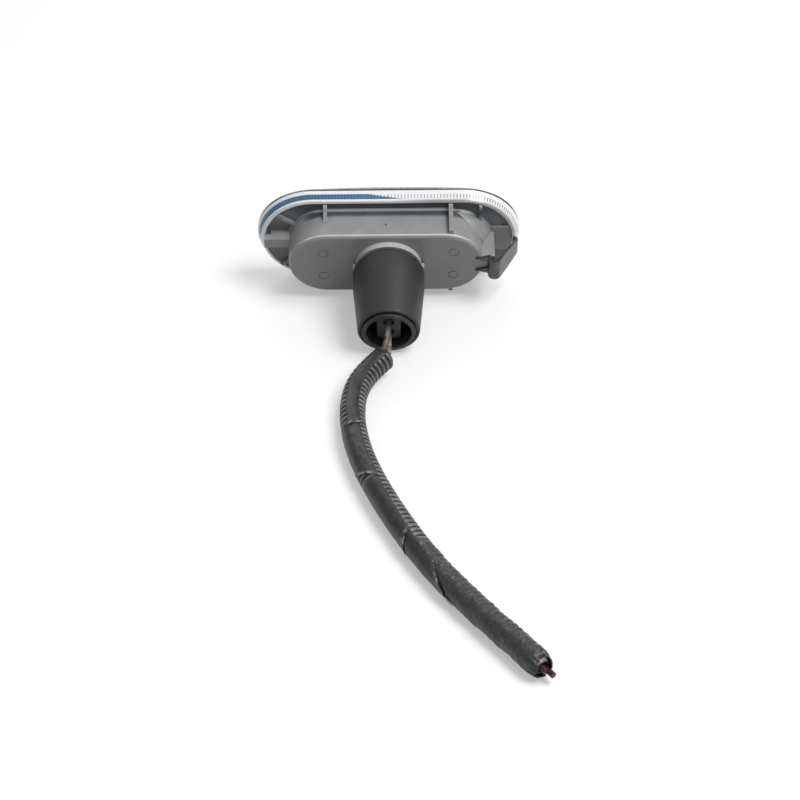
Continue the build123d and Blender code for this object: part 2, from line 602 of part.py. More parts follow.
# Boot: black rubber sleeve on the holder's shroud, tapered to an end with a groove round its lip.
boot_bore = SHROUD_RADIUS + FIT
neck_front = shroud_back + FIT
mouth_front = neck_front + BOOT_NECK
groove_radius = BOOT_LIP_RADIUS + BOOT_GROOVE
groove_floor = BOOT_BODY_BACK - BOOT_GROOVE
with BuildPart() as boot:
    with BuildSketch(AXIAL):
        with BuildLine():
            Polyline(
                (boot_bore, BOOT_FRONT),
                (BOOT_RADIUS, BOOT_FRONT),
                (BOOT_RADIUS, BOOT_FRONT + BOOT_STRAIGHT),
                (BOOT_END_RADIUS, BOOT_BODY_BACK),
                (groove_radius, BOOT_BODY_BACK),
                (groove_radius, groove_floor),
                (BOOT_LIP_RADIUS, groove_floor),
                (BOOT_LIP_RADIUS, BOOT_BACK),
                (BOOT_MOUTH_RADIUS, BOOT_BACK),
                (BOOT_MOUTH_RADIUS, mouth_front),
                (boot_bore, neck_front),
                close=True,
            )
        make_face()
    revolve(axis=LAMP_AXIS)
    rounded = boot.edges().filter_by(GeomType.CIRCLE)
    front_edge = rounded.group_by(LAMP_AXIS)[0].sort_by(SortBy.RADIUS)[-1]
    body_edge = rounded.group_by(LAMP_AXIS)[-2].sort_by(SortBy.RADIUS)[-1]
    fillet([front_edge, body_edge], radius=BOOT_EDGE_RADIUS)
    lip_edges = boot.edges().filter_by(GeomType.CIRCLE).group_by(LAMP_AXIS)[-1]
    fillet(lip_edges, radius=BOOT_LIP_EDGE)
boot.part.label = "boot"
export_step(boot.part, "parts/boot.step")

# Plug: black two-way connector inside the boot, one terminal above the other.
plug_front = shroud_floor + FIT
plug_back = plug_front + PLUG_LENGTH
terminal_front = plug_front + SLIDE
terminal_back = terminal_front + TERMINAL_LENGTH
with BuildPart() as plug:
    with BuildSketch(LAMP.offset(plug_front)):
        RectangleRounded(PLUG_WIDTH, PLUG_HEIGHT, PLUG_CORNER)
    extrude(amount=PLUG_LENGTH)
    with BuildSketch(LAMP.offset(plug_front)):
        for side in (1, -1):
            with Locations((0, side * contact_middle)):
                Rectangle(TERMINAL_WIDTH + 2 * SLIDE, TERMINAL_HEIGHT + 2 * SLIDE)
    extrude(amount=terminal_back + SLIDE - plug_front, mode=Mode.SUBTRACT)
    with BuildSketch(LAMP.offset(plug_front)):
        for side in (1, -1):
            with Locations((0, side * contact_middle)):
                Circle(WIRE_RADIUS + SLIDE)
    extrude(amount=PLUG_LENGTH, mode=Mode.SUBTRACT)
    with BuildSketch(LAMP.offset(plug_back)):
        for side in (1, -1):
            with Locations((0, side * contact_middle)):
                Circle(WIRE_SEAL_RADIUS)
    extrude(amount=-WIRE_SEAL_DEPTH, mode=Mode.SUBTRACT)
plug.part.label = "plug"
export_step(plug.part, "parts/plug.step")

for side, place in ((1, "upper"), (-1, "lower")):
    with BuildPart() as plug_terminal:
        with BuildSketch(LAMP.offset(terminal_front)):
            with Locations((0, side * contact_middle)):
                Rectangle(TERMINAL_WIDTH, TERMINAL_HEIGHT)
        extrude(amount=TERMINAL_LENGTH)
        with BuildSketch(LAMP.offset(terminal_front)):
            with Locations((0, side * contact_middle)):
                Rectangle(CONTACT_WIDTH + 2 * SLIDE, CONTACT_THICKNESS + 2 * SLIDE)
        extrude(amount=TERMINAL_SLOT, mode=Mode.SUBTRACT)
    plug_terminal.part.label = "plug_terminal_" + place
    export_step(plug_terminal.part, "parts/plug_terminal_" + place + ".step")

# Harness: two wires from the plug, gathered in a limp split conduit that lies on the floor.
CONDUIT_ROUTE = [
    Vector(-1.4, -38.8, 7.5),
    Vector(-7.5, -45.7, 6.6),
    Vector(-12.5, -55.4, 5.7),
    Vector(-14.0, -67.8, 5.1),
    Vector(-12.9, -81.8, 4.95),
    Vector(-9.4, -97.0, 4.95),
    Vector(-3.6, -113.1, 4.95),
    Vector(4.1, -130.5, 4.95),
    Vector(13.3, -148.1, 4.95),
    Vector(24.2, -164.7, 4.95),
    Vector(35.6, -179.6, 4.95),
    Vector(44.9, -191.2, 4.95),
    Vector(50.4, -198.8, 4.95),
]
WIRE_OFFSET = Vector(-1.3, 0, 0.9)


def bend_radii(route):
    radii = []
    for before, here, after in zip(route, route[1:], route[2:]):
        run = min((here - before).length, (after - here).length)
        half_turn = radians((here - before).get_angle(after - here) / 2)
        radii.append(BEND_SHARE * run / tan(half_turn))
    return radii


def report_tube(name, tube, section_area, path_length):
    print(name, "length", round(path_length, 1), "volume", round(tube.volume, 1), end=" ")
    print("section times length", round(section_area * path_length, 1))


conduit_radii = bend_radii(CONDUIT_ROUTE)
print("conduit radii", [round(radius, 1) for radius in conduit_radii])
with BuildPart() as conduit:
    with BuildLine() as conduit_line:
        FilletPolyline(CONDUIT_ROUTE, radius=conduit_radii)
    with BuildSketch(Plane(conduit_line.wire() @ 0, z_dir=conduit_line.wire() % 0)) as conduit_ring:
        Circle(CONDUIT_RADIUS)
        Circle(CONDUIT_BORE_RADIUS, mode=Mode.SUBTRACT)
    sweep(path=conduit_line.wire())
conduit.part.label = "conduit"
export_step(conduit.part, "parts/conduit.step")
report_tube("conduit", conduit.part, conduit_ring.sketch.area, conduit_line.wire().length)

# Tape wound over the last runs of the conduit, up to the cut end.
tape_start = (CONDUIT_ROUTE[-TAPED_RUNS - 1] + CONDUIT_ROUTE[-TAPED_RUNS]) / 2
taped_route = [tape_start, *CONDUIT_ROUTE[-TAPED_RUNS:]]
taped_radii = conduit_radii[-TAPED_RUNS + 1 :]
with BuildPart() as harness_tape:
    with BuildLine() as tape_line:
        FilletPolyline(taped_route, radius=taped_radii)
    with BuildSketch(Plane(tape_line.wire() @ 0, z_dir=tape_line.wire() % 0)) as tape_ring:
        Circle(CONDUIT_RADIUS + TAPE_THICKNESS)
        Circle(CONDUIT_RADIUS, mode=Mode.SUBTRACT)
    sweep(path=tape_line.wire())
harness_tape.part.label = "harness_tape"
export_step(harness_tape.part, "parts/harness_tape.step")
report_tube("harness_tape", harness_tape.part, tape_ring.sketch.area, tape_line.wire().length)

last_run = (CONDUIT_ROUTE[-1] - CONDUIT_ROUTE[-2]).normalized()
for side, colour in ((1, "brown"), (-1, "grey")):
    wire_route = [
        lamp_point(0, side * contact_middle, terminal_back),
        lamp_point(0, side * contact_middle, plug_back + WIRE_BEND_REACH),
    ]
    wire_route += [point + WIRE_OFFSET * side for point in CONDUIT_ROUTE]
    wire_radii = bend_radii(wire_route[:4]) + conduit_radii
    wire_route[-1] += last_run * WIRE_STUB
    print(colour, "wire radii", [round(radius, 1) for radius in wire_radii])
    with BuildPart() as wire:
        with BuildLine() as wire_line:
            FilletPolyline(wire_route, radius=wire_radii)
        with BuildSketch(Plane(wire_line.wire() @ 0, z_dir=wire_line.wire() % 0)) as wire_round:
            Circle(WIRE_RADIUS)
        sweep(path=wire_line.wire())
    wire.part.label = colour + "_wire"
    export_step(wire.part, "parts/" + colour + "_wire.step")
    report_tube(colour + " wire", wire.part, wire_round.sketch.area, wire_line.wire().length)
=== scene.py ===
import math

import bmesh
import bpy
from mathutils import Matrix, Vector, noise


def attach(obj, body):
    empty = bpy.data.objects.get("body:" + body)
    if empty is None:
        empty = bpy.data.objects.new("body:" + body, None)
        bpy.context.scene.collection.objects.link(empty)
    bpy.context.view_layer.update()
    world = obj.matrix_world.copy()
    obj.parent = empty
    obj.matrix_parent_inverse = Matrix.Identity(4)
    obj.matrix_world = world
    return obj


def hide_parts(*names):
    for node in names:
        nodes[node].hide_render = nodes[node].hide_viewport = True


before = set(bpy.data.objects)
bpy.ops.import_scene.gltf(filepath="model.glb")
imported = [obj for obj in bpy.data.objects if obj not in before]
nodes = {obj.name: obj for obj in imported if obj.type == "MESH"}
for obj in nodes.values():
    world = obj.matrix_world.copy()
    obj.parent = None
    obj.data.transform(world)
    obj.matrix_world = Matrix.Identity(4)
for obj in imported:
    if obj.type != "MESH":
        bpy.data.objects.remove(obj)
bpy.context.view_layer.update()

scene = bpy.context.scene
scene.view_settings.view_transform = "Standard"

# Table top: a plain pale board under the lamp, painted matt, far wider than the view. It takes
# the shadow and is no part of the lamp. Seen directly it is nearly white, but it sends less
# light back up, so the underside of the lamp stays in shade.
TABLE_HALF_WIDTH = 4.0
TABLE_OWN_LIGHT = 0.36


class Signal:
    """An output in a shader's node tree that adds Math nodes when it is used in a sum."""

    def __init__(self, tree, socket=None):
        self.tree = tree
        self.socket = socket

    def node(self, kind, settings={}, inputs={}, output=0):
        made = self.tree.nodes.new("ShaderNode" + kind)
        for name, value in settings.items():
            setattr(made, name, value)
        for name, value in inputs.items():
            if isinstance(value, Signal):
                self.tree.links.new(value.socket, made.inputs[name])
            else:
                made.inputs[name].default_value = value
        return Signal(self.tree, made.outputs[output])

    def math(self, operation, *others):
        return self.node("Math", {"operation": operation}, dict(enumerate((self, *others))))

    def __add__(self, other):
        return self.math("ADD", other)

    def __sub__(self, other):
        return self.math("SUBTRACT", other)

    def __mul__(self, other):
        return self.math("MULTIPLY", other)

    def __rsub__(self, other):
        return self * -1 + other

    __radd__ = __add__
    __rmul__ = __mul__

    def dot(self, direction):
        inputs = {0: self, 1: direction}
        return self.node("VectorMath", {"operation": "DOT_PRODUCT"}, inputs, "Value")

    def rise(self, low, high):
        """0 below low, 1 above high, smooth between; falls instead when low is above high."""
        inputs = {"Value": self, "From Min": low, "From Max": high}
        return self.node("MapRange", {"interpolation_type": "SMOOTHSTEP"}, inputs)

    def noise(self, scale, detail=2, roughness=0.5):
        inputs = {"Vector": self, "Scale": scale, "Detail": detail, "Roughness": roughness}
        return self.node("TexNoise", {}, inputs)

    def stretched(self, x, y, z):
        """These coordinates with the pattern drawn out along the axes of small numbers."""
        return self.node("Mapping", {}, {"Vector": self, "Scale": (x, y, z)})

    def tint(self, dark, light):
        """A colour that goes from dark to light as this signal goes from 0 to 1."""
        ends = [(*end, 1) if isinstance(end, tuple) else end for end in (dark, light)]
        return self.node("Mix", {"data_type": "RGBA"}, {0: self, 6: ends[0], 7: ends[1]}, 2)

    def bump(self, depth, strength=1.0):
        inputs = {"Height": self, "Distance": depth, "Strength": strength}
        return self.node("Bump", {}, inputs)


def new_finish(name):
    """A new material, the start of its signals on Object coordinates, and its shader."""
    material = bpy.data.materials.new(name)
    material.use_nodes = True
    tree = material.node_tree
    place = Signal(tree).node("TexCoord", {}, {}, "Object")
    return material, place, tree.nodes["Principled BSDF"]


def drive(shader, **sockets):
    """Sets or links the shader's sockets; an underscore stands for a space."""
    for name, value in sockets.items():
        socket = shader.inputs[name.replace("_", " ").title().replace("Ior", "IOR")]
        if isinstance(value, Signal):
            value.tree.links.new(value.socket, socket)
        else:
            socket.default_value = value


def finish_with_mix(material, share, first, second):
    """Makes a mix of two shaders, this share of it the second, the material's surface."""
    tree = material.node_tree
    mixed = share.node("MixShader", {}, {0: share, 1: first, 2: second})
    tree.links.new(mixed.socket, tree.nodes["Material Output"].inputs["Surface"])


table_finish, place, shader = new_finish("table_paint")
seen = place.node("LightPath", {}, {}, "Is Camera Ray")
for ray in ("Is Glossy Ray", "Is Transmission Ray"):
    seen = seen.math("MAXIMUM", place.node("LightPath", {}, {}, ray))
paint = place.noise(6, 3).tint((0.86, 0.86, 0.855), (0.9, 0.9, 0.895))
drive(shader, base_color=seen.tint((0.4, 0.4, 0.4), paint), roughness=0.7)
matt = Signal(None, shader.outputs[0])
glow = place.node("Emission", {}, {"Color": (0.985, 0.985, 0.98, 1)})
finish_with_mix(table_finish, seen * TABLE_OWN_LIGHT, matt, glow)
table_form = bmesh.new()
bmesh.ops.create_grid(table_form, x_segments=1, y_segments=1, size=TABLE_HALF_WIDTH)
table_mesh = bpy.data.meshes.new("table_top")
table_form.to_mesh(table_mesh)
table_form.free()
table_mesh.materials.append(table_finish)
table_top = bpy.data.objects.new("table_top", table_mesh)
scene.collection.objects.link(table_top)

# Studio light: a soft panel above and to the right, a weaker one behind the lens, and an even
# pale room. The camera looks down at the back of the lamp through a long lens.
CAMERA_PLACE = (0.0060, -0.6436, 0.4910)
CAMERA_LOOK = Vector((-0.0024, 0.7674, -0.6412)).normalized()
CAMERA_ROLL = math.radians(-0.629)

room = bpy.data.worlds.new("room")
scene.world = room
room.use_nodes = True
room_light = room.node_tree.nodes["Background"]
room_light.inputs["Color"].default_value = (1.0, 1.0, 1.0, 1.0)
room_light.inputs["Strength"].default_value = 0.45


def soft_panel(name, place, aim, width, height, power):
    panel = bpy.data.lights.new(name, "AREA")
    panel.shape = "RECTANGLE"
    panel.size = width
    panel.size_y = height
    panel.energy = power
    lamp = bpy.data.objects.new(name, panel)
    scene.collection.objects.link(lamp)
    lamp.location = place
    lamp.rotation_euler = (Vector(aim) - Vector(place)).to_track_quat("-Z", "Y").to_euler()


soft_panel("key_panel", (0.65, -0.25, 1.2), aim=(0, 0, 0), width=0.7, height=0.7, power=17.0)
soft_panel("back_panel", (-0.3, 1.5, 0.9), aim=(0, 0, 0.02), width=1.6, height=0.8, power=8.0)

eye = bpy.data.cameras.new("camera")
eye.sensor_width = 36.0
eye.lens = 90.0
camera = bpy.data.objects.new("camera", eye)
scene.collection.objects.link(camera)
scene.camera = camera
level = CAMERA_LOOK.cross(Vector((0, 0, 1))).normalized()
across = level * math.cos(CAMERA_ROLL) + level.cross(CAMERA_LOOK) * math.sin(CAMERA_ROLL)
turn = Matrix((across, across.cross(CAMERA_LOOK), -CAMERA_LOOK)).transposed()
camera.matrix_world = Matrix.Translation(CAMERA_PLACE) @ turn.to_4x4()

# Lens: clear polished plastic with a thick rim that closes in towards the panel lip. Fine upright
# teeth are moulded in the rim, and its left part has a blue streak. Over the rim the clear plastic
# is drawn as frosted white, a painted refraction, with painted shade on the teeth and towards the
# right and a painted dark line along its outer edge.
LEAN = math.radians(11.8676)
RIGHT = Vector((1, 0, 0))
UP = Vector((0, -math.sin(LEAN), math.cos(LEAN)))
REAR = Vector((0, -math.cos(LEAN), -math.sin(LEAN)))
LENS_CENTRE = Vector((0, 0.0239013, 0.022753))
LENS_STRAIGHT_HALF = 0.02975
LENS_END_RADIUS = 0.02325
TOOTH_PITCH = 0.0013


def lamp_signals(place):
    """How far right, up and rearward a point is from the centre of the lens's widest edge."""
    return [place.dot(axis) - axis.dot(LENS_CENTRE) for axis in (RIGHT, UP, REAR)]


def lamp_point(right, up, rear):
    return LENS_CENTRE + RIGHT * right + UP * up + REAR * rear


def refinish(node, finish):
    """Gives a solid from the model this finish in place of its plain colour."""
    nodes[node].data.materials.clear()
    nodes[node].data.materials.append(finish)


lens_finish, place, shader = new_finish("lens_clear")
drive(shader, base_color=(0.95, 0.97, 0.98, 1), roughness=0.04, ior=1.55, transmission_weight=1.0)
right, up, rear = lamp_signals(place)

# The teeth are counted along the rim's outline, straight in the middle and round at the ends.
past_straight = right.math("ABSOLUTE") - LENS_STRAIGHT_HALF
round_end = past_straight.math("MAXIMUM", 0.0).math("ARCTAN2", up.math("ABSOLUTE"))
along_rim = round_end * LENS_END_RADIUS + past_straight.math("MINIMUM", 0.0)
wave = (along_rim * (2 * math.pi / TOOTH_PITCH)).math("SINE")
teeth = wave.rise(0.1, 0.6) * rear.rise(0.0012, 0.0015) * rear.rise(0.0029, 0.0026)
cloud = place.noise(300, 3)
# Painted shade: the teeth are painted grey, more so at the right end, and the lip is painted grey
# towards the right; a grey line runs along the lip.
tooth_shade = teeth * (right.rise(0.02, 0.045) * 0.3 + 0.55)
lip_line = rear.rise(0.0035, 0.0036) * rear.rise(0.00388, 0.0038)
lip_painted_shade = rear.rise(0.0028, 0.0032) * right.rise(-0.002, 0.02)
shade = (tooth_shade + lip_line * 0.45 + lip_painted_shade * 0.45).math("MINIMUM", 1.0)
pale = shade.tint((0.85, 0.855, 0.86), (0.14, 0.145, 0.15))

# The streak lies over the teeth's inner half, thins out to the right and has a ragged end.
streak_end = right * -1 + cloud * 0.004
streak_low = streak_end.rise(-0.004, 0.012)
streak = rear.rise(0.0031, 0.0028) * (rear + streak_low * 0.0017).rise(0.0026, 0.0029)
streak = streak * streak_end.rise(-0.007, 0.0) * up.rise(-0.004, 0.003)
deep = teeth * 0.35 + cloud * 0.35 + rear.rise(0.0024, 0.0028) * 0.5
blue = deep.tint((0.03, 0.145, 0.3), (0.006, 0.05, 0.15))
rim_streaked = (streak * 0.95).tint(pale, blue)
# The rim's outer edge is painted near black: a painted refraction of the dark seen through the
# clear edge.
edge_painted_shade = rear.rise(-0.0001, -0.0004)
# Over the rim the clear plastic is drawn as frosted white, a painted refraction standing in for the
# light through the clear rim; the greys and the streak above are drawn on it.
rim_painted_look = place.node(
    "BsdfPrincipled",
    {},
    {
        "Base Color": edge_painted_shade.tint(rim_streaked, (0.05, 0.05, 0.047)),
        "Roughness": 0.22,
        "IOR": 1.5,
        "Normal": (1 - teeth + cloud * 0.1).bump(0.0003, 0.6),
    },
)
rim_only = rear.rise(-0.0012, -0.0009) * 0.93
finish_with_mix(lens_finish, rim_only, Signal(None, shader.outputs[0]), rim_painted_look)
refinish("lens", lens_finish)

# Reflector: a moulded plastic dish with a bright film of metal on it. It stands behind the lens,
# and its rim lies on the front of the housing's flange.
reflector_finish, place, shader = new_finish("reflector_bright")
drive(shader, base_color=place.noise(60, 3).tint((0.76, 0.76, 0.78), (0.86, 0.86, 0.87)))
drive(shader, metallic=1.0, roughness=place.noise(90, 2) * 0.12 + 0.08)
refinish("reflector", reflector_finish)

# Bulb: amber glass, pinched flat to a wedge at its base and pushed into the holder. Inside, a
# filament is welded across two drawn leads.
bulb_finish, place, shader = new_finish("bulb_amber")
drive(shader, base_color=place.noise(150, 2).tint((0.9, 0.36, 0.05), (0.98, 0.5, 0.1)))
drive(shader, roughness=0.03, ior=1.5, transmission_weight=0.9)
refinish("bulb_glass", bulb_finish)
filament_finish, place, shader = new_finish("filament_wire")
drive(shader, base_color=place.noise(900, 3).tint((0.36, 0.36, 0.37), (0.6, 0.6, 0.6)))
drive(shader, metallic=1.0, roughness=0.35)
refinish("bulb_filament", filament_finish)

# Housing: grey filled plastic from a spark-textured mould, with flow marks and a little dust on
# what faces up. Painted shade darkens the flange and the corner where the tub meets it, and painted
# highlights lighten the tub's rear top edge, the step and the collar. It is welded to the lens.


def moulded(name, dark, light, grain, rough, depth):
    """Textured moulded plastic: fine grain, slow flow marks and dust on what faces up."""
    finish, place, shader = new_finish(name)
    flow = place.noise(55, 4, 0.6)
    fine = place.noise(grain, 2, 0.6)
    facing = place.node("NewGeometry", {}, {}, "Normal").dot((0, 0, 1))
    dust = facing.rise(0.2, 0.95) * place.noise(220, 4, 0.7).rise(0.3, 0.75)
    patch = (flow * 0.65 + fine * 0.35 + dust * 0.1).math("MINIMUM", 1.0)
    colour = patch.tint(dark, light)
    drive(shader, base_color=colour, roughness=rough + flow * 0.12 + dust * 0.15)
    drive(shader, normal=(fine + flow * 0.3).bump(depth, 0.5))
    return finish, place, shader, colour


housing_finish, place, shader, grey = moulded(
    "housing_grey",
    dark=(0.155, 0.158, 0.16),
    light=(0.31, 0.313, 0.312),
    grain=1900,
    rough=0.24,
    depth=0.0001,
)
up, rear = lamp_signals(place)[1:]

# Painted shade lies on the flange, and on the tub's top wall in the corner behind the step; it is
# tinted blue, a painted reflection of the lens's blue streak.
ragged_rear = rear + place.noise(120, 3) * 0.001
corner_painted_shade = rear.rise(0.00461, 0.0047) * ragged_rear.rise(0.0086, 0.0067)
corner_painted_shade = corner_painted_shade * up.rise(0.012, 0.0155) * up.rise(0.0169, 0.0167)
flange_painted_shade = rear.rise(0.0037, 0.00355) * (up.rise(0.012, 0.018) * 0.4 + 0.45)
painted_shade = (corner_painted_shade * 0.92 + flange_painted_shade).math("MINIMUM", 1.0)
painted_shade_grey = painted_shade.tint(grey, (0.03, 0.04, 0.057))

# Painted highlights: the top of the tub's rear edge, the edge of the step and the collar are
# painted pale, where light catches them.
rubbed_and_painted_highlight = rear.rise(0.0165, 0.0169) * rear.rise(0.0176, 0.0171) * up.rise(0.009, 0.015)
rubbed_and_painted_highlight = rubbed_and_painted_highlight * (place.noise(90, 3) * 0.5 + 0.4)
on_step = rear.rise(0.0044, 0.00456) * rear.rise(0.00468, 0.00462)
step_painted_highlight = on_step * up.rise(0.0158, 0.0166) * 0.9
collar_painted_highlight = rear.rise(0.0182, 0.0186) * rear.rise(0.0212, 0.0209) * 0.45
drive(shader, base_color=(rubbed_and_painted_highlight + step_painted_highlight + collar_painted_highlight).tint(painted_shade_grey, (0.62, 0.62, 0.61)))
refinish("housing", housing_finish)

# Retaining clip: one strip of dark spring steel, bent to a hairpin and pushed into the slot of its
# post. Its free leg springs out and holds that end of the lamp in the panel.
clip_finish, place, shader = new_finish("clip_steel")
brushed = place.stretched(1, 1, 12).noise(700, 3, 0.6)
rubbed_and_painted_highlight = place.noise(260, 4, 0.65).rise(0.45, 0.7)
steel = (brushed * 0.5 + rubbed_and_painted_highlight * 0.4).tint((0.04, 0.04, 0.042), (0.16, 0.16, 0.165))
drive(shader, base_color=steel, metallic=0.7)
drive(shader, roughness=0.24 + brushed * 0.16, normal=brushed.bump(0.00005, 0.4))
refinish("retaining_clip", clip_finish)

# Bulb holder and brass: the holder is black nylon and twists into the collar, where only its flange
# shows between collar and boot. The contacts and terminals inside are stamped from brass strip.
holder_finish = moulded(
    "holder_black",
    dark=(0.012, 0.012, 0.013),
    light=(0.035, 0.035, 0.037),
    grain=1500,
    rough=0.45,
    depth=0.0001,
)[0]
refinish("bulb_holder", holder_finish)
brass_finish, place, shader = new_finish("contact_brass")
drive(shader, base_color=place.noise(400, 3).tint((0.55, 0.42, 0.2), (0.8, 0.66, 0.4)))
drive(shader, metallic=1.0, roughness=0.32)
for brass_strip in ("bulb_contact", "plug_terminal"):
    for row in ("upper", "lower"):
        refinish(f"{brass_strip}_{row}", brass_finish)

# Boot and seal: black moulded rubber, slightly bloomed. The boot is pushed over the holder's
# shroud, and the flat ring of the seal lies between the holder and the housing.
boot_finish = moulded(
    "boot_rubber",
    dark=(0.008, 0.008, 0.009),
    light=(0.03, 0.03, 0.032),
    grain=2300,
    rough=0.42,
    depth=0.00006,
)[0]
refinish("boot", boot_finish)
refinish("holder_seal", boot_finish)

# Plug: dark brown-black moulded connector, pushed into the holder inside the boot's mouth. Each
# wire leaves it through a round recess in its back.
plug_finish = moulded(
    "plug_black",
    dark=(0.009, 0.007, 0.007),
    light=(0.03, 0.025, 0.024),
    grain=1700,
    rough=0.42,
    depth=0.0001,
)[0]
refinish("plug", plug_finish)

# Wires: two thin insulated leads that leave the plug and run on inside the conduit to its cut end,
# where the insulation is charred dark red. Just behind the plug each lead has a painted grey
# highlight.
WIRE_RISE = 0.00275
WIRE_START = 0.0418
WIRE_BEND = 0.0567
WIRE_APART = Vector((-0.0013, 0, 0.0009))
WIRE_STUB = 0.0034
CONDUIT_ROUTE = [
    Vector((-0.0014, -0.0388, 0.0075)),
    Vector((-0.0075, -0.0457, 0.0066)),
    Vector((-0.0125, -0.0554, 0.0057)),
    Vector((-0.0140, -0.0678, 0.0051)),
    Vector((-0.0129, -0.0818, 0.00495)),
    Vector((-0.0094, -0.0970, 0.00495)),
    Vector((-0.0036, -0.1131, 0.00495)),
    Vector((0.0041, -0.1305, 0.00495)),
    Vector((0.0133, -0.1481, 0.00495)),
    Vector((0.0242, -0.1647, 0.00495)),
    Vector((0.0356, -0.1796, 0.00495)),
    Vector((0.0449, -0.1912, 0.00495)),
    Vector((0.0504, -0.1988, 0.00495)),
]


def new_piece(name, data, finish):
    """A new object at the origin that rides on the lamp and takes this finish."""
    piece = bpy.data.objects.new(name, data)
    scene.collection.objects.link(piece)
    data.materials.clear()
    data.materials.append(finish)
    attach(piece, "root")
    return piece


def cord_line(name, route):
    """A smooth open line with the route's points as its control points."""
    curve = bpy.data.curves.new(name, "CURVE")
    curve.dimensions = "3D"
    curve.resolution_u = 24
    line = curve.splines.new("NURBS")
    line.points.add(len(route) - 1)
    for point, spot in zip(line.points, route):
        point.co = (*spot, 1)
    line.order_u = 3
    line.use_endpoint_u = True
    return curve


last_run = (CONDUIT_ROUTE[-1] - CONDUIT_ROUTE[-2]).normalized()
wires = (
    (1, "brown_wire", "wire_brown", 0.2078, (0.06, 0.03, 0.025), (0.17, 0.1, 0.085)),
    (-1, "grey_wire", "wire_grey", 0.2069, (0.06, 0.06, 0.062), (0.3, 0.3, 0.31)),
)
for side, name, slot, length, dark, light in wires:
    wire_finish, place, shader = new_finish(slot)
    rear = lamp_signals(place)[2]
    mottled = place.noise(500, 3).rise(0.3, 0.75).tint(dark, light)
    # Just behind the plug each lead is painted grey: a painted highlight.
    with_painted_highlight = (rear.rise(0.0585, 0.056) * 0.7).tint(mottled, (0.17, 0.17, 0.17))
    charred = place.dot((0, -1, 0)).rise(0.1955, 0.1985).tint(with_painted_highlight, (0.035, 0.008, 0.008))
    drive(shader, base_color=charred, roughness=0.35)
    drive(shader, normal=place.noise(900, 2).bump(0.00005, 0.3))
    wire_route = [lamp_point(0, side * WIRE_RISE, depth) for depth in (WIRE_START, WIRE_BEND)]
    wire_route += [point + side * WIRE_APART for point in CONDUIT_ROUTE]
    wire_route[-1] = wire_route[-1] + last_run * WIRE_STUB
    wire_line = cord_line(name, wire_route)
    wire_line.bevel_depth = 0.0011
    wire_line.bevel_resolution = 4
    wire_line.use_fill_caps = True
    wire = new_piece(name + "_lead", wire_line, wire_finish)
    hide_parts(name)

# Conduit: split corrugated black plastic tube round the wires, lying limp on the table. Its crests
# are rubbed grey, partly wear and partly a painted highlight, and its grooves are painted near
# black as painted shade. The last third is drawn in by the tape round it.
GROOVE_RADIUS = 0.00405
SHOULDER_RADIUS = 0.0047
CREST_RADIUS = 0.00488
CONDUIT_WALL = 0.0006
WOUND_LENGTH = 0.0735
CUT_REACH = 0.006
FROM_AXIS = Vector((0, 1, 1))

route_curve = cord_line("harness_route", CONDUIT_ROUTE)
route_curve.twist_mode = "Z_UP"
route_piece = bpy.data.objects.new("harness_route", route_curve)
scene.collection.objects.link(route_piece)
route_mesh = bpy.data.meshes.new_from_object(route_piece)
route_points = [vertex.co.copy() for vertex in route_mesh.vertices]
route_length = sum((b - a).length for a, b in zip(route_points, route_points[1:]))
ring_count = round(route_length / 0.00245)
ring_pitch = route_length / ring_count
wound_count = round(WOUND_LENGTH / ring_pitch)
wound_start = route_length - wound_count * ring_pitch


def settle(piece):
    """Applies the piece's modifiers to its mesh and shades it smooth."""
    bpy.context.view_layer.update()
    graph = bpy.context.evaluated_depsgraph_get()
    piece.data = bpy.data.meshes.new_from_object(piece.evaluated_get(graph))
    piece.modifiers.clear()
    piece.data.shade_smooth()


def thicken(piece, wall):
    """Gives a thin tube or strip its wall, inwards from its outer face."""
    shell = piece.modifiers.new("wall", "SOLIDIFY")
    shell.thickness = wall
    shell.offset = -1.0
    settle(piece)


def lay_along_route(piece):
    """Bends a piece that was made straight along X to the harness route."""
    bend = piece.modifiers.new("route", "CURVE")
    bend.object = route_piece
    bend.deform_axis = "POS_X"
    settle(piece)


def ribbed_tube(name, profile, count, start, steps, finish):
    """Rings of this profile, (part of a pitch, radius), repeated along X from start."""
    form = bmesh.new()
    line = [form.verts.new((start + part * ring_pitch, 0, radius)) for part, radius in profile]
    edges = [form.edges.new(pair) for pair in zip(line, line[1:])]
    bmesh.ops.spin(
        form,
        geom=line + edges,
        cent=(0, 0, 0),
        axis=(1, 0, 0),
        angle=2 * math.pi,
        steps=steps,
        use_merge=True,
    )
    bmesh.ops.recalc_face_normals(form, faces=form.faces)
    outward = [face.normal.dot(face.calc_center_median() * FROM_AXIS) for face in form.faces]
    if sum(outward) < 0:
        bmesh.ops.reverse_faces(form, faces=form.faces)
    mesh = bpy.data.meshes.new(name)
    form.to_mesh(mesh)
    form.free()
    tube = new_piece(name, mesh, finish)
    rows = tube.modifiers.new("rows", "ARRAY")
    rows.use_relative_offset = False
    rows.use_constant_offset = True
    rows.constant_offset_displace = (ring_pitch, 0, 0)
    rows.count = count
    rows.use_merge_vertices = True
    rows.merge_threshold = 0.00002
    settle(tube)
    return tube


conduit_finish, place, shader = new_finish("conduit_black")
crest = place.node("Attribute", {"attribute_name": "crest"}, {}, "Fac")
scuff = place.noise(420, 4, 0.7)
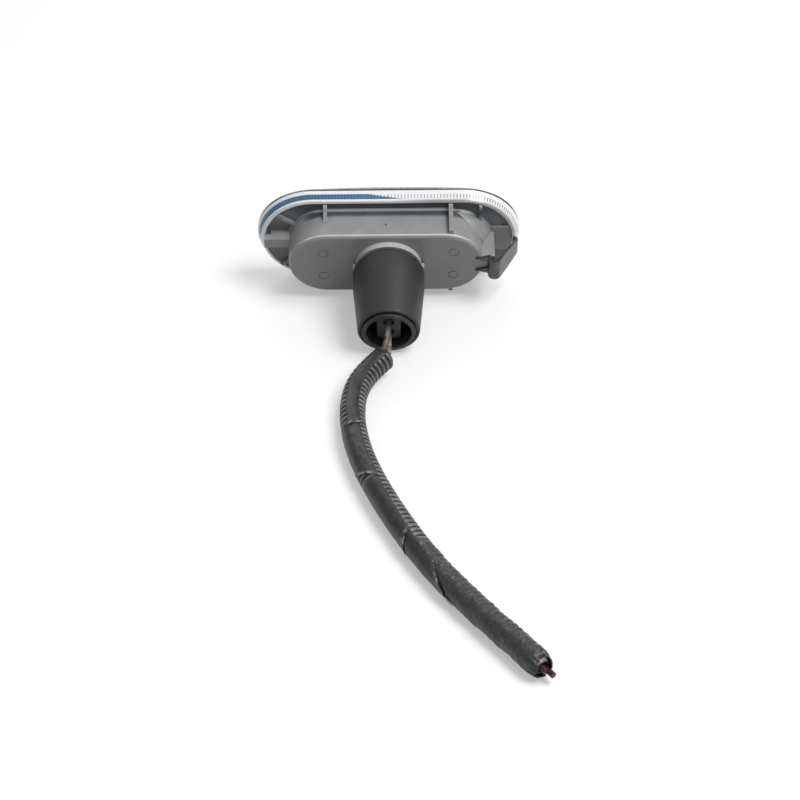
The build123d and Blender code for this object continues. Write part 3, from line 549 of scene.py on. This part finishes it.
# Crests: rubbed grey, partly real wear and partly a painted highlight; grooves: painted near black,
# painted shade.
rubbed_and_painted_highlight = crest.rise(0.55, 1.0) * (scuff * 0.6 + place.noise(130, 3).rise(0.35, 0.7) * 0.5)
groove_painted_shade = crest.rise(0.5, 0.1)
worn_and_painted_highlight = rubbed_and_painted_highlight.tint((0.012, 0.012, 0.013), (0.21, 0.205, 0.2))
drive(shader, base_color=groove_painted_shade.tint(worn_and_painted_highlight, (0.006, 0.006, 0.006)))
drive(shader, roughness=0.3 + scuff * 0.2, normal=scuff.bump(0.0001, 0.3))
ring_profile = (
    (0.0, GROOVE_RADIUS),
    (0.2, GROOVE_RADIUS),
    (0.3, SHOULDER_RADIUS),
    (0.42, CREST_RADIUS),
    (0.78, CREST_RADIUS),
    (0.9, SHOULDER_RADIUS),
    (1.0, GROOVE_RADIUS),
)
conduit = ribbed_tube(
    "conduit_corrugated",
    ring_profile,
    count=ring_count,
    start=0.0,
    steps=32,
    finish=conduit_finish,
)
heights = conduit.data.attributes.new("crest", "FLOAT", "POINT")
for vertex, height in zip(conduit.data.vertices, heights.data):
    x, y, z = vertex.co
    height.value = (math.hypot(y, z) - GROOVE_RADIUS) / (CREST_RADIUS - GROOVE_RADIUS)
    sway = 0.012 * noise.noise(Vector((x * 180, 0, 3.1)))
    squeeze = 0.93 if x > wound_start + CUT_REACH else 1.0
    squeeze -= 0.4 * max(0.0, 1 - (route_length - x) / CUT_REACH)
    vertex.co = (x, y * squeeze * (1 + sway), z * squeeze * (1 - sway))
thicken(conduit, CONDUIT_WALL)
lay_along_route(conduit)
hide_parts("conduit")

# Tape: black vinyl tape, wound round the last third of the conduit and drawn tight, so that the
# rings show through in wrinkles. Its end was cut off with the wires and is torn.
TAPE_RADIUS = 0.00474
TAPE_WALL = 0.0003
TAPE_OVER_TABLE = 0.00495
LAP_PITCH = 0.0125
TORN_REACH = 0.0045
FIRST_TURN = 0.012

tape_finish, place, shader = new_finish("tape_black")
crinkle = place.noise(800, 5, 0.7)
creased = place.stretched(1, 1, 2.5).noise(330, 3, 0.6)
stained = (crinkle * 0.6 + creased * 0.5).rise(0.35, 0.9)
drive(shader, base_color=stained.tint((0.016, 0.016, 0.018), (0.06, 0.06, 0.063)))
drive(shader, roughness=0.26 + crinkle * 0.25, normal=(crinkle * 0.6 + creased).bump(0.0005, 0.6))
wound_profile = (
    (0.0, 0.00464),
    (0.14, 0.00462),
    (0.28, 0.00468),
    (0.45, 0.00484),
    (0.7, 0.00486),
    (0.86, 0.00474),
    (1.0, 0.00464),
)
wound_tape = ribbed_tube(
    "wound_tape",
    wound_profile,
    count=wound_count,
    start=wound_start,
    steps=48,
    finish=tape_finish,
)
for vertex in wound_tape.data.vertices:
    x, y, z = vertex.co
    along = (x - wound_start) / (route_length - wound_start)
    round_tube = math.atan2(y, z)
    sine = math.sin(round_tube)
    cosine = math.cos(round_tube)

    # Rings, lap edges, creases and folds, calmer on the left side and towards the cut end.
    left_side = max(0.0, -sine)
    ring = (math.hypot(y, z) - TAPE_RADIUS) * (1 - 0.5 * along) * (1.2 - left_side)
    lap = ((x - wound_start) / LAP_PITCH + round_tube / (2 * math.pi)) % 1.0
    lap_edge = max(0.0, 1 - lap * 7)
    crease = noise.noise(Vector((x * 420, y * 500, z * 500))) * (1 - 0.5 * left_side)
    fold = noise.noise(Vector((x * 210 + cosine * 1.3, sine * 1.6, 7.7)))
    radius = TAPE_RADIUS + ring + 0.0002 * lap_edge + 0.00024 * crease + 0.00022 * fold
    radius = min(radius, TAPE_OVER_TABLE + 0.0003 * max(0.0, cosine + 0.2))

    # The cut end is drawn in and torn, and the first turn starts on a slant.
    from_cut = max(0.0, 1 - (route_length - x) / TORN_REACH)
    tear = noise.noise(Vector((cosine * 2.3, sine * 2.3, 4.4)))
    radius *= 1 - from_cut**2 * (0.12 + 0.75 * abs(tear))
    from_start = max(0.0, 1 - (x - wound_start) / FIRST_TURN)
    x += 0.004 * tear * from_cut + 0.004 * math.sin(round_tube + 0.9) * from_start
    vertex.co = (x, radius * sine, radius * cosine)
thicken(wound_tape, TAPE_WALL)
lay_along_route(wound_tape)
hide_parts("harness_tape")

# Tape strips: four short lengths of the same tape laid one after the other along the slit of the
# conduit, which turns from its top to its left side; each end laps the next and lifts a little.
STRIP_RADIUS = 0.00497
STRIP_WALL = 0.00015
STRIP_STEP = 0.0008
LOOSE_REACH = 0.002

strip_finish, place, shader = new_finish("strip_black")
streaked = place.noise(260, 4, 0.6) * 0.7 + place.noise(1400, 3) * 0.3
dull = streaked.rise(0.3, 0.75).tint((0.008, 0.009, 0.008), (0.03, 0.032, 0.03))
torn = place.node("Attribute", {"attribute_name": "torn"}, {}, "Fac")
torn = torn * place.noise(500, 2).rise(0.4, 0.6)
drive(shader, base_color=torn.tint(dull, (0.3, 0.3, 0.29)))
drive(shader, roughness=0.32 + streaked * 0.15, normal=streaked.bump(0.0003, 0.4))
strip_form = bmesh.new()
torn_ends = strip_form.verts.layers.float.new("torn")
strips = (
    (0.0015, 0.045, -28, -33, 60, 0.001),
    (0.0435, 0.077, -26, -14, 112, -0.004),
    (0.0755, 0.105, -12, 6, 104, 0.003),
    (0.1035, 0.122, 4, 18, 98, 0.009),
)
for number, (start, end, edge_start, edge_end, width, slant) in enumerate(strips):
    laid_before = len(strip_form.verts)
    steps = round((end - start) / STRIP_STEP)
    line = []
    for step in range(steps + 1):
        along = start + (end - start) * step / steps
        from_top = math.radians(edge_start + (edge_end - edge_start) * step / steps)
        from_top += 0.05 * noise.noise(Vector((along * 140, number, 5)))
        loose = max(0.0, 1 - (end - along) / LOOSE_REACH)
        ripple = noise.noise(Vector((along * 330, number, 0)))
        radius = STRIP_RADIUS + 0.00006 * ripple + 0.00035 * loose
        spot = (along, -radius * math.sin(from_top), radius * math.cos(from_top))
        line.append(strip_form.verts.new(spot))
        line[-1][torn_ends] = loose
    edges = [strip_form.edges.new(pair) for pair in zip(line, line[1:])]
    bmesh.ops.spin(
        strip_form,
        geom=line + edges,
        cent=(0, 0, 0),
        axis=(1, 0, 0),
        angle=math.radians(width),
        steps=width // 4,
    )
    for vertex in list(strip_form.verts)[laid_before:]:
        x, y, z = vertex.co
        left_turn = math.atan2(-y, z) - math.radians(edge_start)
        wrinkle = noise.noise(Vector((x * 260, left_turn * 3, number)))
        crumple = noise.noise(Vector((x * 700, left_turn * 7, number + 9)))
        swell = 1 + 0.022 * wrinkle + 0.012 * crumple
        slide = slant * left_turn * (x - start) / (end - start)
        vertex.co = (x + slide, y * swell, z * swell)
bmesh.ops.recalc_face_normals(strip_form, faces=strip_form.faces)
for face in strip_form.faces:
    if face.normal.dot(face.calc_center_median() * FROM_AXIS) < 0:
        face.normal_flip()
strip_mesh = bpy.data.meshes.new("tape_strips")
strip_form.to_mesh(strip_mesh)
strip_form.free()
tape_strips = new_piece("tape_strips", strip_mesh, strip_finish)
thicken(tape_strips, STRIP_WALL)
lay_along_route(tape_strips)
bpy.data.objects.remove(route_piece)
